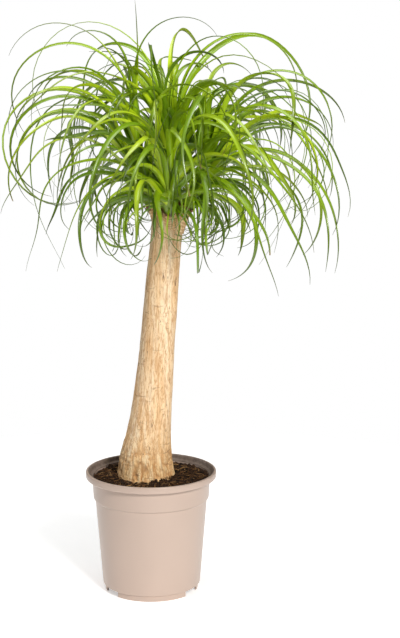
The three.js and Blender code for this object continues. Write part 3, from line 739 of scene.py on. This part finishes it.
def is_clear(leaf, head, obstacles, own):
    """Whether the leaf keeps clear of the bars, of other heads' leaves and, if own is set,
    of its own head's leaves beyond the roots."""
    rings = leaf_rings(leaf)
    if np.hypot(rings["at"][:, 0] - CROWN[0], rings["at"][:, 1]).max() > SPREAD:
        return False
    mine, taken = segments_of(rings), obstacles.taken
    ends, others = mine["at"], taken["at"]
    apart = np.linalg.norm(ends.mean(1)[:, None] - others.mean(1)[None], axis=-1)
    long, rank = half_length(ends)[:, None], np.arange(len(ends))[:, None]
    is_bar, same = taken["bar"] > 0, taken["head"] == head
    skip = is_bar & (same | ((taken["neck"] == head) & (rank == 0)))
    skip = skip | (~is_bar & same & ((not own) | (rank < 2) | (taken["rank"] < 2)))
    i, j = np.nonzero((apart < long + taken["long"] + NEAR + taken["bar"]) & ~skip)
    v = closest(ends[i], others[j])
    d = np.linalg.norm(v, axis=-1)
    n = v / np.maximum(d, 1e-6)[:, None]
    ours = reach({k: v[i] for k, v in mine.items()}, n)
    theirs = reach({k: taken[k][j] for k in mine}, n)
    theirs = np.where(taken["bar"][j] > 0, taken["bar"][j], theirs)
    return not (d < ours + theirs + CLEAR).any()


def neck_root(head):
    """Where a head's neck leaves the trunk, near its middle."""
    centre = CROWN - (0, 0, NECK.sink)
    return centre + (head.foot - centre) * (0.3, 0.3, 0)


def wood_bars():
    """The trunk, the necks and the shoots, as round bars to keep clear of."""
    obstacles = Obstacles()
    for (z0, x0, r0), (z1, x1, r1) in zip(TRUNK[1:-1], TRUNK[2:]):
        obstacles.add_bar([x0, 0, z0], [x1, 0, z1], max(r0, r1) + 1)
    for number, head in enumerate(HEADS):
        obstacles.add_bar(neck_root(head), head.foot, NECK.root + 1, neck=number)
        tip = head.foot + head.axis * (head.shoot + 8)
        obstacles.add_bar(head.foot, tip, CORE.foot + 0.5, head=number)
    return obstacles


def grow_leaves():
    """Leaders first, then the other leaves, one rank of every head at a time. A draw that
    meets something is drawn again."""
    obstacles = wood_bars()
    grown = [[] for _ in HEADS]

    def place(head, draw):
        for attempt in range(TRIES):
            leaf = draw(attempt)
            if is_clear(leaf, head, obstacles, attempt < TRIES / 2):
                obstacles.add(segments_of(leaf_rings(leaf)), head)
                grown[head].append(leaf)
                return

    for number, row in enumerate(LEADERS):
        place(row[0], lambda attempt: leader(row, number, attempt))
    for index in range(max(head.leaves for head in HEADS)):
        for number, head in enumerate(HEADS):
            if index < head.leaves:
                place(number, lambda attempt: draw_leaf(number, index, attempt))
    return grown


# ---------- leaf blades
SECTION = np.array([-1.0, -0.55, 0.0, 0.55, 1.0, 0.55, 0.0, -0.55])
UNDERSIDE = np.array([0, 0, 0, 0, 0, 1, 1, 1.0])


def wander(leaf, u, r):
    """A drift off the middle line, sideways and up, that grows as u²: two slow sines."""
    _, level, above = line_frame(leaf, u)
    far = leaf.length / 300 * u**2
    sideways, upward = (
        most * (r() - 0.5) * far * np.sin((0.9 + 1.2 * r()) * TURN * u + TURN * r())
        for most in DRIFT
    )
    return level * sideways[:, None] + above * upward[:, None]


def strap_width(leaf, u, fullness):
    """Full width of a blade as it is seen: never over WIDEST, and tapering as 1 less u to the
    power of fullness."""
    taper = np.clip(1 - u**fullness, 0, 1) ** 0.95
    return min(leaf.width, WIDEST) * taper * (0.45 + 0.55 * ease(u / 0.12)) + 0.35


def add_blade(shape, leaf, stations, tone, trim, r):
    """A channelled strap swept along the middle line. Across, s from -1 to 1, the upper face
    is s² times the channel's depth, and the underside is one thickness lower and meets it at
    the edges. A trimmed leaf ends square and dry."""
    last = 0.84 + 0.12 * r() if trim else 1.0
    u = np.linspace(0, 1, stations) ** 1.05 * last
    across, face = ribbon_frame(leaf, u)
    at = middle_line(leaf, u, 3) + wander(leaf, u, r)
    fullness = 1.25 + 2.0 * r() ** 2
    half = (strap_width(leaf, u, leaf.fullness or fullness) / 2)[:, None, None]
    depth = (0.62 * (1 - u) + 0.25)[:, None, None] * half
    thick = (0.62 - 0.25 * u)[:, None, None]
    s = SECTION[None, :, None]
    rise = depth * (s**2 - 0.55) - thick * UNDERSIDE[None, :, None]
    grid = at[:, None] + across[:, None] * (s * half) + face[:, None] * rise
    n = len(SECTION)
    dry = ease((u - last + 0.035) / 0.03) * (0.9 if trim else 0.35 * (r() > 0.6))
    shape.add_rings(
        grid, along=np.repeat(u, n), across=np.tile(SECTION, stations), tone=tone,
        dry=np.repeat(dry, n), length=leaf.length * MM,
    )


def add_shoot(shape, head):
    """The shoot inside the leaves: a round bar that swells and closes over at its tip."""
    t = np.linspace(0, 1, 14)
    radius = (CORE.foot + (CORE.tip - CORE.foot) * t) * np.sqrt(1 - t**6 * 0.97)
    angle = np.arange(16)[:, None] / 16 * TURN
    ring = head.e1 * np.cos(angle) + head.e2 * np.sin(angle)
    grid = head.foot + head.axis * 0.3 + head.axis * (t * head.shoot)[:, None, None]
    grid = grid + ring * radius[:, None, None]
    shape.add_rings(grid, along=0.07, across=0.6, tone=0.45, dry=0.0, length=0.3)


def fine_leaf(head, r):
    """A thin leaf between the others: as they grow, but narrower, longer bent and curlier."""
    age = r() ** 1.4
    tilt = 8 + 70 * age + (r() - 0.5) * 20
    side, rise, azimuth, up = leaning(head, tilt, r() * TURN)
    straight = head.size * (24 + 130 * up * (0.4 + 0.8 * r()))
    radius = head.size * (36 + 34 * up + 70 * up * r() ** 2 + 24 * r()) * (1 - 0.35 * age)
    return arch(
        rise, rise + (60 + 200 * r()) * DEG, straight, radius, head.size * 800,
        azimuth=azimuth, swing=(r() - 0.5) * 150 * DEG, twist=(r() - 0.5) * 240 * DEG,
        width=2.2 + 4.8 * r() ** 1.5, lean=(r() - 0.5) * 110 * DEG,
        flick=FLICK * max(0.0, r() - 0.4) * DEG, ripple=(r() - 0.5) * 1.4 * RIPPLE * DEG,
        phase=r() * TURN, root=root_on(head, (1 - age) ** 0.8) + side * 3,
    )


def curled_leaf(head, r):
    """A short leaf at the foot of a head, hanging and curling up at its end."""
    side = outward(head, r() * TURN)
    rise, azimuth = aim(unit(head.axis * (0.15 + 0.5 * r()) + side))
    straight = 14 + 40 * r()
    radius = 14 + 38 * r()
    return arch(
        rise, rise + (110 + 200 * r()) * DEG, straight, radius,
        azimuth=azimuth, swing=(r() - 0.5) * 160 * DEG, twist=(r() - 0.5) * 260 * DEG,
        width=3.0 + 5.5 * r(), lean=(r() - 0.5) * 110 * DEG,
        ripple=(r() - 0.5) * 1.6 * RIPPLE * DEG, phase=r() * TURN,
        root=root_on(head, 0.02 + 0.2 * r()) + side * 5,
    )


def inside_box(leaf):
    """Whether the leaf's middle line stays within the solids' box."""
    line = middle_line(leaf, np.linspace(0, 1, 25), 2)
    low, high = np.array(cad_low) / MM + BOX_MARGIN, np.array(cad_high) / MM - BOX_MARGIN
    return bool(((line > low) & (line < high)).all())


def make_foliage(material):
    """Every head's leaves and shoot in place of its solid, then its thin, curled and long
    hanging leaves."""
    grown = grow_leaves()
    wood = wood_bars()
    for number, head in enumerate(HEADS):
        shape = Shape()
        add_shoot(shape, head)
        r = draws(SEEDS.leaves + number)
        for leaf in grown[number]:
            tone = 0.68 - 0.08 * leaf.age + 0.84 * (r() - 0.5)
            add_blade(shape, leaf, STATIONS.strap, max(0.02, min(1.0, tone)), r() < 0.10, r)
        shape.make("leaves_" + head.name, material, "leaf", "head_" + head.name)
    for number, head in enumerate(HEADS):
        shape = Shape()
        r = draws(SEEDS.thin + number)
        fits = lambda leaf: inside_box(leaf) and is_clear(leaf, number, wood, False)
        wanted = head.fine
        while wanted:
            leaf = fine_leaf(head, r)
            if fits(leaf):
                add_blade(shape, leaf, STATIONS.fine, 0.25 + 0.6 * r(), r() < 0.08, r)
                wanted -= 1
        for _ in range(head.curled):
            leaf = curled_leaf(head, r)
            if fits(leaf):
                add_blade(shape, leaf, STATIONS.curled, 0.30 + 0.55 * r(), False, r)
        for row in [row for row in TAILS if row[0] == number]:
            leaf = leader(row, 50 + number, 0)
            add_blade(shape, leaf, STATIONS.hanging, 0.5 + 0.3 * r(), r() < 0.3, r)
        shape.make("thin_leaves_" + head.name, material, "leaf")


# ---------- trunk
def make_trunk(material):
    """Bark on the trunk and its necks. Round u and up v, the radius is the trunk's own less
    ridged noise: long fine grooves all the way up, and deep ropy wrinkles at the foot."""
    shape = Shape()
    z = np.concatenate([np.linspace(150, 300, 150), np.linspace(300.5, TRUNK[-1, 0], 250)])
    smooth = lambda a: np.convolve(np.pad(a, 4, "edge"), np.ones(9) / 9, "valid")
    centre, own = (smooth(np.interp(z, TRUNK[:, 0], TRUNK[:, k]))[:, None] for k in (1, 2))
    v, u = round_grid((z - z[0]) / (z[-1] - z[0]), 216)
    z = z[:, None]
    ridges = lambda u, cells_u, cells_v, seed: 1 - np.abs(grain(u, v, cells_u, cells_v, seed)) * 2
    sway = 0.012 * grain(u, v, 7, 16, 5)
    ropes = ridges(u + sway, 40, 26, 11)
    knots = ridges(u + sway * 1.5, 60, 70, 12)
    strings = ridges(u + sway, 54, 12, 13)
    fine = grain(u, v, 108, 60, 14)
    foot = ease((CORKY.top - z) / CORKY.fade)
    flutes = 1.6 * (0.5 + 0.5 * np.cos(5 * TURN * u + 0.8) * np.cos(2 * TURN * u - 0.5))
    low = np.clip(ropes * 0.9 + knots * 0.5 - 0.2, 0, 1)
    high = np.clip(strings * 1.2 - 0.35, 0, 1) * np.clip(0.55 + grain(u, v, 9, 22, 15), 0, 1)
    cut = foot * low * 2.9 + (1 - foot) * high * 0.65 + 0.22 * fine
    wave = 0.5 * grain(u, v, 6, 14, 16)
    radius = own - cut + wave - flutes * np.clip((z - 205) / 30, 0, 1) * 0.5
    radius = radius * (1 - 0.25 * ease((z - 690) / 18) ** 3)
    grid = vectors(centre + radius * np.cos(u * TURN), radius * np.sin(u * TURN), z)
    # groove: 1 where the bark is cut deepest, which the bark's finish darkens partly as painted
    # shade
    groove = foot * low + (1 - foot) * high * 0.75
    shape.add_rings(grid, groove=groove, golden=foot + 0 * u)
    for number, head in enumerate(HEADS):
        add_neck(shape, number, head)
    shape.make("trunk_bark", material, "bark", "trunk", crease=70)


def add_neck(shape, number, head):
    """A ringed, rough bar from the trunk to the head's foot, cut off square to the shoot."""
    start = neck_root(head)
    axis = unit(head.foot - start)
    e1 = unit(np.cross([0.0, 1.0, 0.2], axis))
    t, u = round_grid(np.linspace(0, 1, 40), 48)
    rings = 0.5 * np.cos(t * 9 * TURN + 2 * grain(u, t, 6, 4, 30 + number))
    rough = 0.6 * grain(u, t, 20, 12, 40 + number)
    size = NECK.root + (NECK.top - NECK.root) * ease(t) + 2.5 * (1 - t) ** 3
    size = (size + rings * 0.7 + rough)[..., None]
    ahead = axis * (t * np.linalg.norm(head.foot - start))[..., None]
    angle = (u * TURN)[..., None]
    grid = start + ahead + (e1 * np.cos(angle) + np.cross(axis, e1) * np.sin(angle)) * size
    over = np.maximum(0, (grid - head.foot) @ head.axis + 0.3)
    grid = grid - over[..., None] * head.axis
    shape.add_rings(grid, groove=np.clip(0.3 - rings, 0, 1), golden=0.5)


def make_dry_scales(material):
    """Stubs of old leaf bases round each neck's end and the rim of the trunk's top: small
    curved scales that stand up and out."""
    shape = Shape()
    r = draws(SEEDS.scales)
    s, lift = np.array([-1, 0, 1, 0.0]), np.array([0, 0.5, 0, -0.25])

    def scale(at, out, up, long, wide):
        t = np.linspace(0, 1, 6)[:, None]
        curl = (0.15 + 0.5 * r()) * long
        line = at + up * (t * long) + out * (curl * t**2)
        half = wide * (1 - t**3) * 0.5 + 0.3
        grid = line[:, None] + unit(np.cross(up, out)) * (s * half)[..., None]
        grid = grid + out * (lift * half * 0.6)[..., None]
        shape.add_rings(grid)

    for head in HEADS:
        for k in range(SCALES.head):
            out = outward(head, k * 2.4 + r())
            at = head.foot + out * (NECK.top + 0.2) - head.axis * (7 * r() + 1)
            scale(at, out, unit(head.axis + out * 0.5 * r()), 5 + 6 * r(), 3 + 4 * r())
    for k in range(SCALES.rim):
        out = direction(k * 2.4 + r(), 0.0)
        at = out * RIM.radius + (RIM.centre, 0, RIM.height + 12 * r())
        scale(at, out, unit(out * 0.5 + (0, 0, 1)), 4 + 6 * r(), 3 + 4 * r())
    shape.make("dry_scales", material, "bark", crease=60)


# ---------- soil
def soil_height(x, y):
    """The bed's height: lumps of several sizes, mounds at the trunk's right front and left."""
    lumps = np.sin(x * 0.11 + 1.3) * np.cos(y * 0.13 - 0.4)
    lumps = lumps + 0.7 * np.sin(x * 0.23 - y * 0.19 + 2.1) + 0.5 * np.cos(x * 0.31 + y * 0.27)
    right = np.exp(-((x - 38) ** 2 + (y + 42) ** 2) / 1800)
    left = np.exp(-((x + 64) ** 2 + (y + 10) ** 2) / 900)
    return SOIL.level + SOIL.lump * lumps + SOIL.mound * (right + left)


def make_soil(material):
    """The bed: a disc of lumpy peat, closed below, rough at three sizes."""
    shape = Shape()
    wall = SOIL.wall
    t, u = round_grid(np.linspace(0.02, 1, 110), 260)
    x, y = wall * t * np.cos(u * TURN), wall * t * np.sin(u * TURN)
    across, along = (x + wall) / (2.2 * wall), (y + wall) / (2 * wall)
    sizes = ((2.2, 26, 24, 51), (1.5, 60, 56, 52), (0.8, 130, 120, 53))
    rough = sum(size * grain(across, along, *cells) for size, *cells in sizes)
    top = vectors(x, y, soil_height(x, y) + rough - 1.0)
    rim = top[-1] * [1, 1, 0] / wall
    sides = ((103.4, 178), (99.4, 170), (87.0, 18), (80.0, 11.5), (1.0, 11.5))  # radius, height
    below = np.stack([rim * radius + [0, 0, z] for radius, z in sides])
    shape.add_rings(np.concatenate([top, below]))
    shape.make("soil_bed", material, "potting_soil", "soil", crease=80)


def scatter(rng, count):
    """Even random spots on the bed, outside the trunk's foot."""
    inner, outer = 47.0, SOIL.wall - 3.5
    x, y = np.zeros(0), np.zeros(0)
    while len(x) < count:
        px, py = rng.uniform(-outer, outer, (2, count))
        keep = (np.hypot(px, py) < outer) & (np.hypot(px - TRUNK[0, 1], py) > inner)
        x, y = np.append(x, px[keep])[:count], np.append(y, py[keep])[:count]
    return x, y


def turned(rng, count):
    """Random rotations, from the vectors of a random triple made square."""
    q, _ = np.linalg.qr(rng.normal(size=(count, 3, 3)))
    return q * np.sign(np.linalg.det(q))[:, None, None]


def copies(faces, points, count):
    """The faces of one piece repeated for count pieces of as many points each."""
    return (faces[None] + points * np.arange(count)[:, None, None]).reshape(-1, faces.shape[1])


def make_crumbs(material, rng):
    """Jittered, flattened lumps with twelve corners and twenty faces."""
    golden = (1 + 5**0.5) / 2
    signs = [(0, a, b * golden) for a in (-1, 1) for b in (-1, 1)]
    corners = np.array([np.roll(corner, k) for k in (0, -1, 1) for corner in signs]) / 1.9
    near = np.linalg.norm(corners[:, None] - corners[None], axis=-1) < 1.15
    faces = np.array([c for c in combinations(range(12), 3) if near[np.ix_(c, c)].all()])
    a, b, c = (corners[faces[:, k]] for k in range(3))
    flip = (np.cross(b - a, c - a) * (a + b + c)).sum(1) < 0
    faces[flip] = faces[flip][:, ::-1]
    count = CRUMBS
    x, y = scatter(rng, count)
    size = rng.uniform(1.0, 2.6, count) * rng.choice([1.0, 1.6], count, p=[0.85, 0.15])
    lump = corners[None] * (1 + 0.35 * rng.uniform(-1, 1, (count, 12, 1)))
    lump = lump * (rng.uniform(0.4, 1.3, (count, 1, 3)) * size[:, None, None])
    lump = np.einsum("nij,nkj->nki", turned(rng, count), lump)
    lump = lump + vectors(x, y, soil_height(x, y) + rng.uniform(-1.0, 1.6, count))[:, None]
    shape = Shape()
    tone = np.repeat(rng.beta(1.3, 3.4, count), 12)
    shape.add(lump.reshape(-1, 3) * MM, [copies(faces, 12, count)], tone=tone)
    shape.make("peat_crumbs", material, "potting_soil", crease=30)


def make_fibres(material, rng):
    """Thin, bent, three-sided slivers of bark."""
    count, steps = FIBRES, 6
    x, y = scatter(rng, count)
    t = np.linspace(0, 1, steps)
    spin = rng.uniform(0, TURN, count)
    long = rng.uniform(6, 22, count)
    bow = rng.uniform(-0.35, 0.35, count) * long
    ahead = vectors(np.cos(spin), np.sin(spin), rng.uniform(-0.12, 0.22, count))
    beside = vectors(-np.sin(spin), np.cos(spin), 0.0)
    middle = vectors(x, y, soil_height(x, y) + rng.uniform(0.2, 2.4, count))[:, None]
    middle = middle + ahead[:, None] * ((t - 0.5)[:, None] * long[:, None, None])
    middle = middle + beside[:, None] * ((4 * t * (1 - t))[:, None] * bow[:, None, None])
    within = np.hypot(middle[..., 0], middle[..., 1]).max(1) < SOIL.wall - 2
    girth = rng.uniform(0.25, 0.75, count)[:, None, None]
    girth = (girth * (0.35 + 0.65 * np.sin(math.pi * (0.12 + 0.8 * t)))[:, None])[..., None]
    three = np.arange(3)[:, None] / 3 * TURN
    ring = beside[:, None, None] * np.cos(three) * 1.8 + np.array([0, 0, 1.0]) * np.sin(three)
    grid = (middle[:, :, None] + ring * girth)[within]
    faces = [copies(part, 3 * steps, len(grid)) for part in ring_faces(steps, 3)]
    tone = np.repeat(rng.beta(3.2, 1.6, len(grid)), 3 * steps)
    shape = Shape()
    shape.add(grid.reshape(-1, 3) * MM, faces, tone=tone)
    shape.make("peat_fibres", material, "potting_soil", crease=50)


# ---------- pot
def rounded(profile):
    """A profile of radius, height and rounding, where each corner with a rounding is turned
    into a small curve from one side of the corner to the other."""
    points = []
    corners = np.array(profile, float)[:, :2]
    for k, p in enumerate(corners):
        rounding = profile[k][2]
        if not rounding:
            points.append(p)
            continue
        before, after = corners[k - 1] - p, corners[k + 1] - p
        cut = min(rounding, 0.45 * np.linalg.norm(before), 0.45 * np.linalg.norm(after))
        a, b = p + unit(before) * cut, p + unit(after) * cut
        t = np.linspace(0, 1, 6)[:, None]
        points.extend((1 - t) ** 2 * a + 2 * t * (1 - t) * p + t**2 * b)
    return np.array(points)


def add_turned(shape, profile, sides=168, start=0.0, arc=360.0):
    """A profile of radius and height turned about Z, a full turn or an arc with flat ends."""
    full = arc >= 360
    count = sides if full else max(4, int(sides * arc / 360)) + 1
    t = (start + np.arange(count) * arc / (count if full else count - 1))[:, None] * DEG
    radius, height = profile.T
    shape.add_rings(vectors(radius * np.cos(t), radius * np.sin(t), height), full)


def make_pot(material):
    """The pot's wall with its rolled lip, collar and step as one turned profile; the floor
    with its slots and the foot ring between the drain notches as arcs."""
    p = POT
    lip = p.height - p.lip_height
    inner_collar, inner_body = p.collar_top - p.wall, p.body_foot - p.wall
    wall = [
        (p.foot_inner - 1.0, p.floor, 0), (p.foot_inner - 1.0, p.foot_height + 0.2, 0),
        (p.body_foot - 1.6, p.foot_height + 2.4, 0.8), (p.body_foot, p.body_foot_z, 1.4),
        (p.body_top - 0.1, p.collar_foot_z - 3.4, 1.2),
        (p.collar_foot - 0.3, p.collar_foot_z - 0.6, 1.0),
        (p.collar_foot + 0.1, p.collar_foot_z + 1.6, 0.9), (p.collar_top, lip + 0.6, 0.5),
        (p.lip - 1.8, lip - 0.4, 1.6), (p.lip, lip + 1.6, 1.6), (p.lip, p.height - 5.4, 2.6),
        (p.ridge + 2.6, p.height - 0.9, 1.8), (p.ridge, p.height, 1.2),
        (p.ridge - 3.6, p.height - 1.0, 1.6), (p.ledge, p.ledge_z + 1.4, 1.0),
        (inner_collar + 0.4, p.ledge_z, 0.8), (inner_collar, lip - 1.0, 1.0),
        (p.collar_foot - p.wall, p.collar_foot_z + 1, 1.5),
        (p.body_top - p.wall, p.collar_foot_z - 4, 1.5),
        (inner_body + 0.8, p.body_foot_z + 4, 4.0), (inner_body - 4.4, p.floor, 0),
    ]
    shape = Shape()
    add_turned(shape, rounded(wall))
    under = p.foot_height + 0.2
    centre = [
        (0.01, 0.0), (p.centre_foot, 0.0), (p.centre_foot - 1, under), (DRAINS.inner, under),
        (DRAINS.inner, p.floor), (0.01, p.floor),
    ]
    add_turned(shape, np.array(centre), 96)
    ring = [
        (p.foot_inner + 0.6, 0, 0), (p.foot - 0.6, 0, 0.5), (p.foot, 0.8, 0.4),
        (p.foot, p.floor - 0.3, 0), (p.foot_inner, p.floor - 0.3, 0),
    ]
    low, high = DRAINS.inner - 0.1, p.foot_inner - 0.9
    between = np.array([(low, under), (high, under), (high, p.floor), (low, p.floor)])
    for azimuth in DRAINS.azimuths:
        for profile, gap in ((rounded(ring), DRAINS.arc), (between, DRAINS.slot)):
            add_turned(shape, profile, start=azimuth + gap / 2, arc=120 - gap)
    shape.make("pot_shell", material, "pot_plastic", "pot", crease=38)


# ---------- floor
def make_floor(material):
    """A round sheet of paper under the pot: a disc of FLOOR_RADIUS metres."""
    points = direction(np.arange(96) / 96 * TURN, 0.0) * FLOOR_RADIUS
    mesh = bpy.data.meshes.new("studio_floor")
    mesh.from_pydata(points.tolist(), [], [list(range(len(points)))])
    mesh.materials.append(material)
    placed("studio_floor", mesh)


make_floor(studio_floor())
make_pot(pot_plastic())
make_soil(potting_soil())
peat, chance = peat_bits(), np.random.default_rng(SEEDS.peat)
make_crumbs(peat, chance)
make_fibres(peat, chance)
make_trunk(bark())
make_dry_scales(dry_scale())
make_foliage(strap_leaf())
